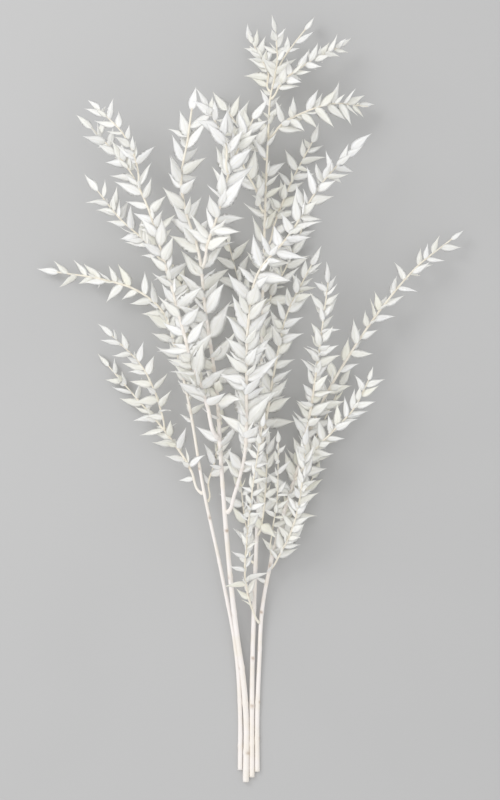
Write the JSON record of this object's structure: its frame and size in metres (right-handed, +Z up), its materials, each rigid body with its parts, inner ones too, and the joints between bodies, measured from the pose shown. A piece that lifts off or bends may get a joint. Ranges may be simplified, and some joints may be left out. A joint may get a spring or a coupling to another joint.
{
  "type": "dried ruscus stem",
  "caption": "Dried, bleached ruscus stems lying together as a loose fan, with long pale canes and many small pointed white leaves.",
  "frame": {"origin": "on the surface that the bunch lies on, under the middle of its length and width", "axes": "+Y from the cut butts to the leafy tips, +Z up from the surface, +X to the right seen from above"},
  "size_m": [0.5382, 0.9628, 0.1428],
  "materials": {
    "bleached_wood": "dry, matt, with fine length grain and tan flecks",
    "bleached_leaf": "dry, papery, matt, with fine veins"
  },
  "bodies": {
    "root": {"front_slender_shoot": "bleached_leaf", "left_cane": "bleached_wood", "left_inner_shoot": "bleached_leaf", "left_low_shoot": "bleached_leaf", "left_low_twig": "bleached_leaf", "left_mid_shoot": "bleached_leaf", "right_back_shoot": "bleached_leaf", "right_cane": "bleached_wood", "right_droop_shoot": "bleached_leaf", "right_front_shoot": "bleached_leaf", "right_low_shoot": "bleached_leaf", "right_thin_shoot": "bleached_leaf", "right_upright_shoot": "bleached_leaf", "tall_back_left": "bleached_leaf", "tall_back_right": "bleached_leaf", "tall_cane": "bleached_wood", "tall_left_high": "bleached_leaf", "tall_left_low": "bleached_leaf", "tall_low_back": "bleached_leaf", "tall_low_front": "bleached_leaf", "tall_right_long": "bleached_leaf", "tall_right_low": "bleached_leaf", "tall_right_mid": "bleached_leaf", "tall_top_left": "bleached_leaf", "tall_top_mid": "bleached_leaf", "tall_top_right": "bleached_leaf", "thick_cane": "bleached_wood", "thick_fork": "bleached_leaf", "thick_fork_twig": "bleached_leaf", "thick_left_branch": "bleached_leaf", "thick_left_side": "bleached_leaf", "thick_left_twig": "bleached_leaf", "thick_right_branch": "bleached_leaf"}
  },
  "joints": []
}
